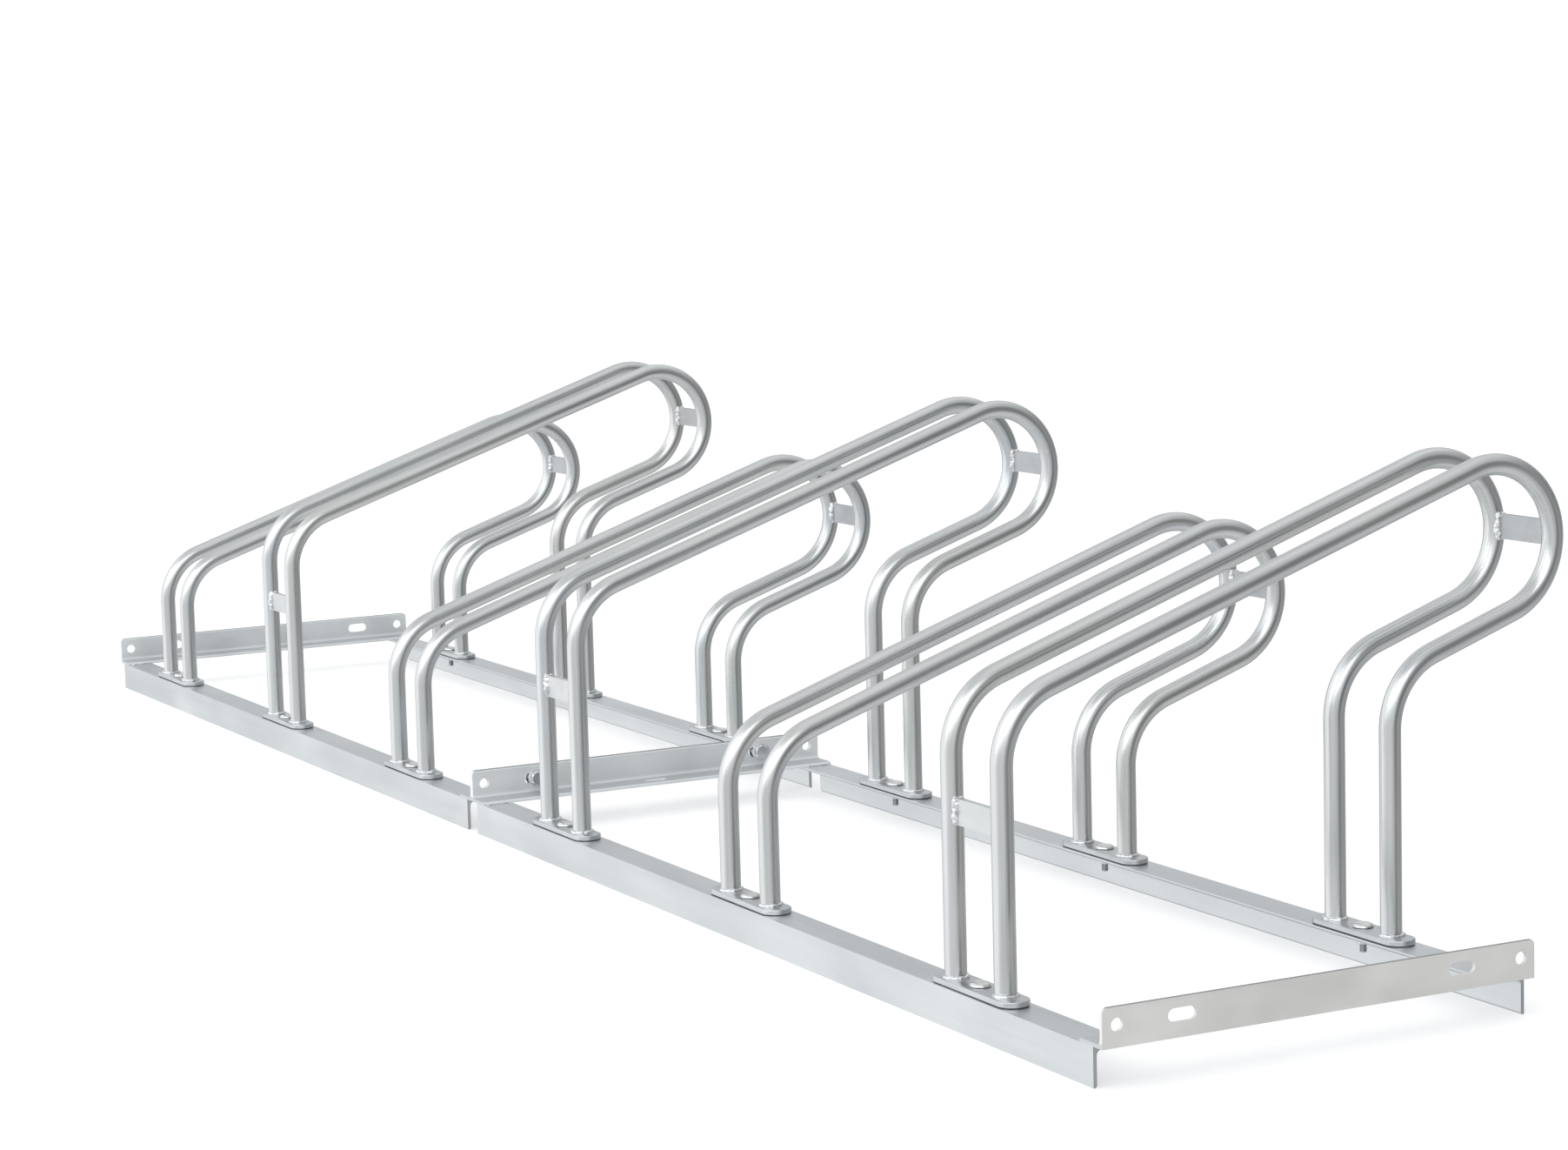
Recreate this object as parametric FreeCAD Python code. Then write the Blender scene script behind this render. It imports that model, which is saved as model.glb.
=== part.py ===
import FreeCAD, Part
import math
import os

# Floor bicycle rack of two bolted modules with six wheel hoops, three to a module.
# Millimetres. X runs along the rack, Y from the bicycle's side to the rear, Z up from the floor.
# The origin lies on the floor below the centre of the whole rack.

# Layout
MODULES = 2
HOOPS_PER_MODULE = 3
HOOP_PITCH = 375.0        # between neighbouring hoops of one module
END_MARGIN = 190.0        # from a module's end face to its outermost hoop
FRAME_DEPTH = 380.0       # over the outer faces of the two rails
REACH = 533.0             # from the front rail's outer face to the rear of the arches
HIGH_TOP = 405.0          # top of a high hoop above the floor
LOW_TOP = 322.0           # top of a low hoop above the floor
HIGH_HOOPS = (False, True, False, True, False, True)

# Hot-rolled equal angle of the rails and the end bars
ANGLE_LEG = 30.0
ANGLE_WALL = 3.0
ANGLE_ROOT_R = 4.0
ANGLE_TOE = 1.5           # bevel of the outer edges of both legs
BAR_OVERHANG = 12.0       # the end bar stands out past the rails' ends
BAR_CORNER_R = 5.0

# Openings in the end bars
HOLE_D = 10.0
HOLE_FROM_END = 12.5
SLOT_WIDTH = 10.0
SLOT_LENGTH = 24.0
SLOT_FROM_END = 67.0
FLOOR_SLOT_LENGTH = 24.0
FLOOR_SLOT_WIDTH = 10.0

# Bent tubes of a hoop
TUBE_D = 17.2
TUBE_GAP = 55.0           # clear space for the tyre between the two tubes
BEND_R = 60.0             # to the tube's centre line
RUN_ANGLE = 18.7          # the arm rises to the rear at this angle
TUBE_SIDES = 12           # flat sides that stand for the round tube
BEND_STEP = 24.0          # most degrees that one straight step of a bend turns

# Flat bars of a hoop
FOOT_LENGTH = 117.0
FOOT_WIDTH = 26.0
FOOT_THICK = 5.0
FOOT_SETBACK = 2.0        # from the rail's outer face to the foot's long edge
FOOT_END_STEPS = 8        # straight steps in a foot's half-round end
SPACER_HEIGHT = 20.0
SPACER_THICK = 5.0
REAR_SPACER_RISE = 2.0    # above the arch's rearmost point
FRONT_SPACER_Z = 163.0    # centre of a high hoop's front spacer above the floor

# Carriage bolts of the feet
FOOT_BOLT_D = 6.0
FOOT_BOLT_LENGTH = 20.0
FOOT_BOLT_HEAD_D = 16.5
FOOT_BOLT_HEAD_H = 3.9
FOOT_BOLT_NECK = 4.2
FOOT_BOLT_ROOM = 0.4      # the square holes are this much wider than the neck
HEAD_PROFILE = ((1.0, 0.0), (0.93, 0.35), (0.55, 0.85), (0.2, 1.0))  # shares of radius and height
FOOT_NUT_FLATS = 10.0
FOOT_NUT_H = 5.0
SHANK_SIDES = 8           # flat sides that stand for the bolts' round shanks
HEAD_SIDES = 12
NUT_ROOM = 0.1            # the nuts' bores are this much wider than the shanks

# Hex bolts that join the modules
JOINT_BOLT_D = 8.0
JOINT_BOLT_LENGTH = 20.0
JOINT_HEAD_H = 5.3
JOINT_HEAD_FLATS = 13.0
JOINT_WASHER_D = 16.0
JOINT_WASHER_BORE = 8.4
JOINT_WASHER_H = 1.6
JOINT_NUT_H = 6.5
WASHER_SIDES = 16

# Worked out from the sizes above
MODULE_LENGTH = HOOP_PITCH * (HOOPS_PER_MODULE - 1) + 2 * END_MARGIN
FRONT_FACE = -REACH / 2
REAR_FACE = FRONT_FACE + FRAME_DEPTH
FLANGE_TOP = ANGLE_LEG
FOOT_TOP = FLANGE_TOP + FOOT_THICK
TUBE_R = TUBE_D / 2
TUBE_OFFSET = (TUBE_GAP + TUBE_D) / 2
FOOT_INSET = FOOT_SETBACK + FOOT_WIDTH / 2
FRONT_FOOT_Y = FRONT_FACE + FOOT_INSET
REAR_FOOT_Y = REAR_FACE - FOOT_INSET
ARCH_Y = FRONT_FACE + REACH - TUBE_R - BEND_R
SLOPE = math.radians(RUN_ANGLE)
LETTERS = "ab"
FOOT_HOLE = FOOT_BOLT_D + FOOT_BOLT_ROOM
BAR_OPENING_RISE = (ANGLE_LEG + ANGLE_WALL) / 2
BAR_OPENING_Z = FLANGE_TOP + BAR_OPENING_RISE

V = FreeCAD.Vector
X_AXIS = V(1, 0, 0)
Y_AXIS = V(0, 1, 0)
Z_AXIS = V(0, 0, 1)


def cylinder(radius, height, base, axis):
    return Part.makeCylinder(radius, height, base, axis)


def outline_face(points):
    return Part.Face(Part.makePolygon(points + points[:1]))


def stack(rings):
    """Solid through rings of equally many points: flat sides between them and a cap at each end."""
    faces = [outline_face(rings[0]), outline_face(rings[-1])]
    for lower, upper in zip(rings, rings[1:]):
        for k in range(len(lower)):
            after = (k + 1) % len(lower)
            faces.append(outline_face([lower[k], lower[after], upper[after], upper[k]]))
    solid = Part.Solid(Part.Shell(faces))
    return solid if solid.Volume > 0 else solid.reversed()


def ring(sides, radius, centre, axis, stretch=1.0):
    """Corners of a regular outline square to the axis, the first one level with the centre."""
    side = X_AXIS if abs(axis.x) < 0.5 else Y_AXIS
    up = axis.cross(side)
    points = []
    for k in range(sides):
        a = 2 * math.pi * k / sides
        points.append(centre + side * (radius * math.cos(a)) + up * (radius * stretch * math.sin(a)))
    return points


def prism(sides, radius, height, base, axis):
    return stack([ring(sides, radius, base, axis), ring(sides, radius, base + axis * height, axis)])


def hexagon(flats, height, base, axis):
    return prism(6, flats / math.sqrt(3), height, base, axis)


def square_bar(width, height, base):
    corner = base - V(width / 2, width / 2, 0)
    return Part.makeBox(width, width, height, corner)


def joined(shapes):
    return shapes[0] if len(shapes) == 1 else Part.makeCompound(shapes)


def angle_bar(length):
    """Angle along +Y with its heel on the Y axis and its legs along +X and +Z."""
    leg = ANGLE_LEG
    wall = ANGLE_WALL
    toe = min(ANGLE_TOE, wall * 0.8)
    root = ANGLE_ROOT_R
    start = V(wall + root, 0, wall)
    middle = V(wall + root * (1 - math.sqrt(0.5)), 0, wall + root * (1 - math.sqrt(0.5)))
    end = V(wall, 0, wall + root)
    outside = [
        end,
        V(wall, 0, leg - toe),
        V(wall - toe, 0, leg),
        V(0, 0, leg),
        V(0, 0, 0),
        V(leg, 0, 0),
        V(leg, 0, wall - toe),
        V(leg - toe, 0, wall),
        start,
    ]
    edges = [Part.LineSegment(a, b).toShape() for a, b in zip(outside, outside[1:])]
    edges.append(Part.Arc(start, middle, end).toShape())
    return Part.Face(Part.Wire(Part.sortEdges(edges)[0])).extrude(V(0, length, 0))


def slot_along_y(length, width, depth, centre, axis):
    """Round-ended slot cutter, its long way along Y, driven along the axis through the centre."""
    start = centre - axis * (depth / 2)
    along = Y_AXIS * ((length - width) / 2)
    across = Y_AXIS.cross(axis) * (width / 2)
    one_side = [start - along - across, start + along - across]
    other_side = [start + along + across, start - along + across]
    middle = outline_face(one_side + other_side).extrude(axis * depth)
    ends = [cylinder(width / 2, depth, start + shift, axis) for shift in (along, along * -1)]
    return middle.fuse(ends).removeSplitter()


def rail(x_start, length, rear, holes):
    """Rail with its vertical leg on the outside and its flange on top, pointing inwards."""
    bar = angle_bar(length)
    bar.rotate(V(0, 0, 0), Z_AXIS, -90)
    bar.rotate(V(0, 0, 0), X_AXIS, 180)
    if rear:
        bar = bar.mirror(V(0, 0, 0), Y_AXIS)
    bar.translate(V(x_start, REAR_FACE if rear else FRONT_FACE, FLANGE_TOP))
    for x, y in holes:
        bar = bar.cut(square_bar(FOOT_HOLE, 4 * ANGLE_WALL, V(x, y, FLANGE_TOP - 2 * ANGLE_WALL)))
    return bar


def end_bar(outer_x, inward):
    """Bar across both rails: its leg stands up at the module's end, its flange lies on the rails."""
    bar = angle_bar(FRAME_DEPTH)
    if inward < 0:
        bar = bar.mirror(V(0, 0, 0), X_AXIS)
    bar.translate(V(outer_x, FRONT_FACE, FLANGE_TOP))
    top = FLANGE_TOP + ANGLE_LEG
    reach = 2 * ANGLE_WALL
    for y, turn in ((FRONT_FACE, 1), (REAR_FACE, -1)):
        round_y = y + turn * BAR_CORNER_R
        corner = V(outer_x - reach, min(y, round_y), top - BAR_CORNER_R)
        block = Part.makeBox(2 * reach, BAR_CORNER_R, BAR_CORNER_R, corner)
        round_centre = V(outer_x - reach, round_y, top - BAR_CORNER_R)
        bar = bar.cut(block.cut(cylinder(BAR_CORNER_R, 2 * reach, round_centre, X_AXIS)))
        hole = V(outer_x - reach, y + turn * HOLE_FROM_END, BAR_OPENING_Z)
        bar = bar.cut(cylinder(HOLE_D / 2, 2 * reach, hole, X_AXIS))
        slot = V(outer_x, y + turn * SLOT_FROM_END, BAR_OPENING_Z)
        bar = bar.cut(slot_along_y(SLOT_LENGTH, SLOT_WIDTH, 2 * reach, slot, X_AXIS))
    middle = V(outer_x + inward * BAR_OPENING_RISE, (FRONT_FACE + REAR_FACE) / 2, FLANGE_TOP)
    return bar.cut(slot_along_y(FLOOR_SLOT_LENGTH, FLOOR_SLOT_WIDTH, 2 * reach, middle, Z_AXIS))


def hoop_path(x, top):
    """Points on the centre line of one bent tube, from the front foot over the arch to the rear foot."""
    run = V(0, math.cos(SLOPE), math.sin(SLOPE))
    normal = V(0, -math.sin(SLOPE), math.cos(SLOPE))
    arch = V(x, ARCH_Y, top - TUBE_R - BEND_R)
    turn = 90 - RUN_ANGLE
    lead = BEND_R * math.tan(math.radians(turn) / 2)

    def bend(centre, first, sweep):
        """Points on a bend from the first angle through the sweep, both in degrees in the YZ plane."""
        steps = math.ceil(abs(sweep) / BEND_STEP)
        points = []
        for i in range(steps + 1):
            a = math.radians(first + sweep * i / steps)
            points.append(centre + V(0, BEND_R * math.cos(a), BEND_R * math.sin(a)))
        return points

    def foot_bend(foot_y, point):
        """Centre of the bend that joins a foot's upright leg to the run through the point."""
        corner = point - run * ((point.y - foot_y) / run.y)
        return corner - Z_AXIS * lead + Y_AXIS * BEND_R

    front = foot_bend(FRONT_FOOT_Y, arch + normal * BEND_R)
    rear = foot_bend(REAR_FOOT_Y, arch - normal * BEND_R)
    path = [V(x, FRONT_FOOT_Y, FOOT_TOP)]
    path += bend(front, 180, -turn)
    path += bend(arch, 90 + RUN_ANGLE, -180)
    path += bend(rear, 90 + RUN_ANGLE, turn)
    path.append(V(x, REAR_FOOT_Y, FOOT_TOP))
    return path


def tube(x, top):
    """Bent tube along its centre line, with a mitre wherever the line turns."""
    path = hoop_path(x, top)
    steps = [(b - a).normalize() for a, b in zip(path, path[1:])]
    before = [Z_AXIS] + steps
    after = steps + [Z_AXIS * -1]
    rings = []
    for point, inward, outward in zip(path, before, after):
        along = (inward + outward).normalize()
        mitre = 1 / along.dot(outward)
        rings.append(ring(TUBE_SIDES, TUBE_R, point, along, mitre))
    return stack(rings)


def foot_plate(x, y):
    """Flat bar with half-round ends and a square hole for the bolt's neck."""
    radius = FOOT_WIDTH / 2
    points = []
    for end in (1, -1):
        for i in range(FOOT_END_STEPS + 1):
            a = math.pi * i / FOOT_END_STEPS - math.pi / 2
            along = FOOT_LENGTH / 2 - radius + radius * math.cos(a)
            points.append(V(x + end * along, y + end * radius * math.sin(a), FLANGE_TOP))
    plate = outline_face(points).extrude(Z_AXIS * FOOT_THICK)
    return plate.cut(square_bar(FOOT_HOLE, 3 * FOOT_THICK, V(x, y, FLANGE_TOP - FOOT_THICK)))


def spacer(x, y, z, tubes):
    """Flat bar between the tubes, its ends coped to them."""
    length = TUBE_GAP + TUBE_R
    start = V(x - length / 2, y - SPACER_THICK / 2, z - SPACER_HEIGHT / 2)
    return Part.makeBox(length, SPACER_THICK, SPACER_HEIGHT, start).cut(tubes)


def foot_bolt(x, y):
    """Carriage bolt: a low round head on the foot, a square neck in its hole and a round shank."""
    seat = V(x, y, FOOT_TOP)
    levels = []
    for radius_share, height_share in HEAD_PROFILE:
        centre = seat + Z_AXIS * (FOOT_BOLT_HEAD_H * height_share)
        levels.append(ring(HEAD_SIDES, FOOT_BOLT_HEAD_D / 2 * radius_share, centre, Z_AXIS))
    down = Z_AXIS * -1
    neck = square_bar(FOOT_BOLT_D, FOOT_BOLT_NECK, seat - Z_AXIS * FOOT_BOLT_NECK)
    shank = prism(SHANK_SIDES, FOOT_BOLT_D / 2, FOOT_BOLT_LENGTH, seat, down)
    return stack(levels).fuse([neck, shank]).removeSplitter()


def nut(flats, height, bore, seat, axis):
    hole = prism(SHANK_SIDES, (bore + NUT_ROOM) / 2, 3 * height, seat - axis * height, axis)
    return hexagon(flats, height, seat, axis).cut(hole)


def washer(seat, axis):
    ring_blank = prism(WASHER_SIDES, JOINT_WASHER_D / 2, JOINT_WASHER_H, seat, axis)
    base = seat - axis * JOINT_WASHER_H
    return ring_blank.cut(prism(WASHER_SIDES, JOINT_WASHER_BORE / 2, 3 * JOINT_WASHER_H, base, axis))


def joint_bolt(seat):
    """Hex bolt with its head on the seat and its shank along -X."""
    shank = prism(SHANK_SIDES, JOINT_BOLT_D / 2, JOINT_BOLT_LENGTH, seat, X_AXIS * -1)
    return hexagon(JOINT_HEAD_FLATS, JOINT_HEAD_H, seat, X_AXIS).fuse(shank).removeSplitter()


def write(name, shape):
    shape.exportStep(os.path.join("parts", name + ".step"))


def write_hoop(name, x, high):
    """Two tubes on two feet, with a spacer at the arch and, in a high hoop, one between the front legs."""
    top = HIGH_TOP if high else LOW_TOP
    tubes = [tube(x - TUBE_OFFSET, top), tube(x + TUBE_OFFSET, top)]
    write(name + "left_tube", tubes[0])
    write(name + "right_tube", tubes[1])
    write(name + "front_foot", foot_plate(x, FRONT_FOOT_Y))
    write(name + "rear_foot", foot_plate(x, REAR_FOOT_Y))
    arch_z = top - TUBE_R - BEND_R
    write(name + "rear_spacer", spacer(x, ARCH_Y + BEND_R, arch_z + REAR_SPACER_RISE, tubes))
    if high:
        write(name + "front_spacer", spacer(x, FRONT_FOOT_Y, FRONT_SPACER_Z, tubes))


def write_frame(letter, first_x, places):
    """Two rails on the floor and an end bar across them at each end."""
    length = MODULE_LENGTH - 2 * BAR_OVERHANG
    for side, rear, y in (("front", False, FRONT_FOOT_Y), ("rear", True, REAR_FOOT_Y)):
        holes = [(x, y) for x in places]
        write(side + "_rail_" + letter, rail(first_x + BAR_OVERHANG, length, rear, holes))
    write("left_end_bar_" + letter, end_bar(first_x, 1))
    write("right_end_bar_" + letter, end_bar(first_x + MODULE_LENGTH, -1))


def write_foot_fasteners(places):
    bolts = []
    nuts = []
    for x in places:
        for y in (FRONT_FOOT_Y, REAR_FOOT_Y):
            bolts.append(foot_bolt(x, y))
            under = V(x, y, FLANGE_TOP - ANGLE_WALL)
            nuts.append(nut(FOOT_NUT_FLATS, FOOT_NUT_H, FOOT_BOLT_D, under, Z_AXIS * -1))
    write("foot_bolts", joined(bolts))
    write("foot_nuts", joined(nuts))


def write_joint_fasteners(joints):
    bolts = []
    nuts = []
    washers = []
    for x in joints:
        for y in (FRONT_FACE + SLOT_FROM_END, REAR_FACE - SLOT_FROM_END):
            for axis in (X_AXIS, X_AXIS * -1):
                washers.append(washer(V(x, y, BAR_OPENING_Z) + axis * ANGLE_WALL, axis))
            seat = ANGLE_WALL + JOINT_WASHER_H
            bolts.append(joint_bolt(V(x + seat, y, BAR_OPENING_Z)))
            back = V(x - seat, y, BAR_OPENING_Z)
            nuts.append(nut(JOINT_HEAD_FLATS, JOINT_NUT_H, JOINT_BOLT_D, back, X_AXIS * -1))
    write("joint_bolts", joined(bolts))
    write("joint_nuts", joined(nuts))
    write("joint_washers", joined(washers))


def build():
    os.makedirs("parts", exist_ok=True)
    starts = [(m - MODULES / 2) * MODULE_LENGTH for m in range(MODULES)]
    places = []
    for letter, first_x in zip(LETTERS, starts):
        module_places = [first_x + END_MARGIN + i * HOOP_PITCH for i in range(HOOPS_PER_MODULE)]
        write_frame(letter, first_x, module_places)
        places += module_places
    for number, (x, high) in enumerate(zip(places, HIGH_HOOPS), 1):
        write_hoop("hoop_" + str(number) + "_", x, high)
    write_foot_fasteners(places)
    write_joint_fasteners(starts[1:])


build()
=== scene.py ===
import math

import bmesh
import bpy
from mathutils import Matrix, Vector, noise


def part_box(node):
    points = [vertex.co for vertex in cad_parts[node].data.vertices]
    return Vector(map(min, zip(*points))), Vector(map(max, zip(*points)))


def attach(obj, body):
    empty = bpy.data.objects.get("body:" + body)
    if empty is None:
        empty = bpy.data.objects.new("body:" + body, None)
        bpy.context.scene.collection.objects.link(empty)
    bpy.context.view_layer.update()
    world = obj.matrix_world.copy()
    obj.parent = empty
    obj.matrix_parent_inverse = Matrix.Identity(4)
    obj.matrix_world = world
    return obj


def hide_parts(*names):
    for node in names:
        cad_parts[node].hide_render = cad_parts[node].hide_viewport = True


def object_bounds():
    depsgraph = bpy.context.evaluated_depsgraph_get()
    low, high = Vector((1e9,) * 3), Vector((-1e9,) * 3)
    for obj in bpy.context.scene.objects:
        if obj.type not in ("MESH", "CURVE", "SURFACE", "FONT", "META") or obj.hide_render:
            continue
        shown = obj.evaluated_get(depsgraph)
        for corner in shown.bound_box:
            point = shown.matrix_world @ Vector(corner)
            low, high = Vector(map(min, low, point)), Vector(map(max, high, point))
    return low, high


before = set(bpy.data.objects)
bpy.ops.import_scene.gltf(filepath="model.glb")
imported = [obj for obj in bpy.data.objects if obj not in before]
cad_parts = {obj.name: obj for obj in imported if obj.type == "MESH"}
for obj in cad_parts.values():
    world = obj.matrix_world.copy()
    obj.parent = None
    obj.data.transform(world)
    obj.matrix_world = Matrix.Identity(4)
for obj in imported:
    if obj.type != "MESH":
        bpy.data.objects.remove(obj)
cad_low, cad_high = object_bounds()

# How the rack is made up; sizes are in metres, angles in degrees
HOOPS = 6
HIGH_HOOPS = (2, 4, 6)
MODULES = ("a", "b")
SIDES = ("left", "right")
ENDS = ("front", "rear")
X_AXIS = Vector((1, 0, 0))
Y_AXIS = Vector((0, 1, 0))
Z_AXIS = Vector((0, 0, 1))

# Tubes
TUBE_R = 0.0086
BEND_R = 0.060               # of the tubes' centre line
RUN_ANGLE = 18.7             # that the arm rises to the rear
TUBE_SIDES = 40
BEND_STEP = 4.0
HOOP_NOISE_STEP = 1.37       # each tube starts elsewhere in the streaks' noise
RIGHT_TUBE_NOISE = 0.61

# Foot plates
FOOT_EDGE_R = 0.0009         # rounding of the upper edge
FOOT_EDGE_STEPS = 3
FOOT_END_STEPS = 16          # round each half-round end
FOOT_GAP_RISE = 0.0009       # groove between the plate and its rail, painted dark as shadow
FOOT_GAP_DEPTH = 0.0008
FOOT_GAP_UPRIGHT = 0.8       # share of its rise before it slopes out

# Rails, end bars and spacers, kept from the CAD
ANGLE_WALL = 0.003
ANGLE_EDGE = 0.0006          # rounding of the edges
SPACER_EDGE = 0.0005
EDGE_SEGMENTS = 2
SHARP_ANGLE = 40             # edges that turn more than this stay sharp or are rounded

# Bolts, nuts and washers
BOLT_HEAD_R = 0.00825
BOLT_HEAD_RISE = 0.0039
BOLT_HEAD_SIDES = 36
BOLT_HEAD_PROFILE = (        # shares of the head's radius and rise, from its seat up
    (0.93, 0.0),
    (0.93, 0.09),
    (1.0, 0.12),
    (1.0, 0.26),
    (0.97, 0.44),
    (0.9, 0.64),
    (0.78, 0.82),
    (0.6, 0.93),
    (0.35, 0.985),
    (0.1, 1.0),
)
BOLT_HEAD_SHADOW_BANDS = 2     # of the profile, next to the seat, painted dark as shadow
FOOT_SHANK_R = 0.003
FOOT_THREAD_PITCH = 0.001
FOOT_THREAD_TIP = 0.0006     # bevel of the shank's end
JOINT_SHANK_R = 0.004
JOINT_THREAD_PITCH = 0.00125
JOINT_THREAD_TIP = 0.0008
SHANK_SIDES = 20
THREAD_DEPTH = 0.55          # share of the pitch
THREAD_STEPS = 4             # rings in each turn of the thread
FOOT_NUT_FLATS = 0.010
JOINT_NUT_FLATS = 0.013      # of the hexagon heads too
HEX_SIDES = 48
HEX_BEVEL_RISE = 0.12        # share of the corner's radius
HEX_BEVEL_REACH = 0.95       # share of half the flats
HEX_UNCUT = 1.01             # share of the corner's radius, past which no corner reaches
WASHER_R = 0.008
WASHER_BORE_R = 0.0042
WASHER_THICKNESS = 0.0016
WASHER_EDGE = 0.0003
WASHER_SIDES = 40

# Beads round the tubes' feet
FOOT_WELD = 0.0023           # leg of the bead
RING_STEPS = 72
RING_ARC_POINTS = 7          # from the plate up to the tube
RING_LUMPS = 0.5             # shares of the bead's leg
RING_RIPPLE = 0.04
RING_BULGE = 0.10
RING_RIPPLES = 17
RING_LUMP_SPREAD = 1.9       # a larger one gives more lumps round the ring
RING_SEED_STEP = 7.3
RING_SINK = 0.0004           # that the bead starts inside the tube
RING_ROOT_SINK = 0.0006      # and its root, which is as far below the plate's top as RING_SINK

# Straight beads
BEAD_SIDES = 14
BEAD_STEP = 0.0007
BEAD_LEAST_STEPS = 6
BEAD_TIP = 0.02              # least share, squared, that a bead's end narrows to
BEAD_LUMP_SCALE = 330
SPACER_WELD = 0.0033         # radius of the heavy bead at a spacer's left end
SPACER_WELD_PAST = 0.0015    # a heavy bead runs this far past the spacer, a light one stops short
SPACER_WELD_SINK = 0.0002
LIGHT_WELD = SPACER_WELD * 0.5
HEAVY_WELD_LUMPS = 0.45
LIGHT_WELD_LUMPS = 0.4
CORNER_WELD = 0.0028         # where an end bar lies on a rail
OUTER_WELD = CORNER_WELD * 0.5
OUTER_WELD_INSET = 0.002
OUTER_WELD_LUMPS = 1.1
INNER_WELD = CORNER_WELD * 0.4
INNER_WELD_FRONT_INSET = 0.003
INNER_WELD_REAR_INSET = 0.004
INNER_WELD_RISE = 0.0004
INNER_WELD_LUMPS = 0.6

# The zinc's finish
NOISE_SPAN = (0.3, 0.7)      # most of a noise's values lie here
TONE_SPAN = (0.35, 0.65)
FINE_STREAKS = 3.1           # times as fine as the broad streaks
BROAD_SHARE = 0.7
FINE_SHARE = 0.3
STREAK_RELIEF = 0.08
STREAK_DEPTH = 0.0001
WARM_ZINC = (0.735, 0.708, 0.682)
WARM_PATCH_SCALE = (0.5, 0.5, 2.4)
WARM_SPAN = (0.4, 0.65)
WARM_SHARE = 0.45
FASTENER_GRAIN = (300.0, 300.0, 300.0)
FASTENER_CLOUDS = (120.0, 120.0, 120.0)

# An end bar's zones: the flange is pale, the upright leg dull and the top edge dark
BAR_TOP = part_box("right_end_bar_b")[1].z
BAR_ZONE_MARGIN = 0.0005
BAR_FLANGE_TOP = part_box("front_rail_b")[1].z + ANGLE_WALL + BAR_ZONE_MARGIN
BAR_ZONE_FADE = 0.001
BAR_FACING_SPAN = (0.4, 0.6)
BAR_DARK_EDGE = 0.0008
BAR_FLANGE_COLOUR = (0.68, 0.70, 0.715)
BAR_EDGE_COLOUR = (0.40, 0.41, 0.41)
BAR_METALLIC = 0.55

# Weld metal, and the painted shadow: a dark line where a plate or a bolt head lies on what carries it
WELD_DARK = (0.66, 0.675, 0.69)
WELD_LIGHT = (0.96, 0.965, 0.97)
WELD_GRAIN = (420.0, 420.0, 420.0)
WELD_ROUGHNESS = (0.14, 0.34)
WELD_RELIEF = 0.3
WELD_DEPTH = 0.0005
# painted shadow for the dark lines under the plates and the bolt heads
PAINTED_SHADOW_DARK = (0.03, 0.035, 0.04)
PAINTED_SHADOW_LIGHT = (0.11, 0.12, 0.13)
PAINTED_SHADOW_GRAIN = (300.0, 300.0, 300.0)
PAINTED_SHADOW_ROUGHNESS = (0.7, 0.95)

# The photograph's camera, in the rack's frame
PHOTO_WIDTH = 1803
CAMERA_PLACE = Vector((3.1914, -1.5764, 0.6732))
CAMERA_AZIMUTH = -62.546
CAMERA_ELEVATION = -7.135
CAMERA_ROLL = -1.552
FOCAL_PIXELS = 4129.5
SENSOR_WIDTH = 36.0

# Stage and light; azimuth 0 is +Y, 90 is +X
FLOOR_DROP = 0.0002
FLOOR_ALBEDO = 0.80
FLOOR_GLOW = 0.42
WALL_ALBEDO = 0.0
WALL_GLOW = 1.0
WALL_SIDES = 96
WALL_DISTANCE = 30.0
WALL_HEIGHT = 14.0
STAGE_ROUGHNESS = 0.9
AMBIENT = 0.74
AMBIENT_COLOUR = (0.985, 1.0, 1.01, 1.0)
DARKEST = 0.04
STUDIO_LIGHTS = (            # azimuth, elevation, inner and outer angle, gain
    (113.0, 31.0, 8.0, 24.0, 0.9),
    (146.0, 31.0, 8.0, 28.0, 0.8),
    (180.0, 31.0, 8.0, 30.0, 0.7),
    (215.0, 10.0, 20.0, 55.0, 0.42),
    (45.0, 18.0, 20.0, 60.0, -0.26),
    (64.0, 9.0, 6.0, 34.0, -0.24),
    (84.0, -21.0, 4.0, 34.0, -0.17),
    (352.0, -4.0, 18.0, 52.0, -0.27),
    (300.0, -45.0, 10.0, 40.0, -0.16),
    (20.0, 64.0, 15.0, 48.0, 0.12),
)


# ---------------------------------------------------------------- materials

def new_material(name):
    """A material with one Principled shader, and its nodes and links."""
    material = bpy.data.materials.new(name)
    material.use_nodes = True
    nodes = material.node_tree.nodes
    links = material.node_tree.links
    nodes.clear()
    output = nodes.new("ShaderNodeOutputMaterial")
    shader = nodes.new("ShaderNodeBsdfPrincipled")
    links.new(shader.outputs["BSDF"], output.inputs["Surface"])
    return material, nodes, links, shader


def scaled_noise(nodes, links, coordinates, scale, detail, roughness, distortion=0.0):
    """Noise on stretched coordinates: a small scale along an axis draws it out into streaks there."""
    mapping = nodes.new("ShaderNodeMapping")
    mapping.inputs["Scale"].default_value = scale
    links.new(coordinates, mapping.inputs["Vector"])
    texture = nodes.new("ShaderNodeTexNoise")
    texture.inputs["Scale"].default_value = 1.0
    texture.inputs["Detail"].default_value = detail
    texture.inputs["Roughness"].default_value = roughness
    texture.inputs["Distortion"].default_value = distortion
    links.new(mapping.outputs["Vector"], texture.inputs["Vector"])
    return texture.outputs["Fac"]


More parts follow.
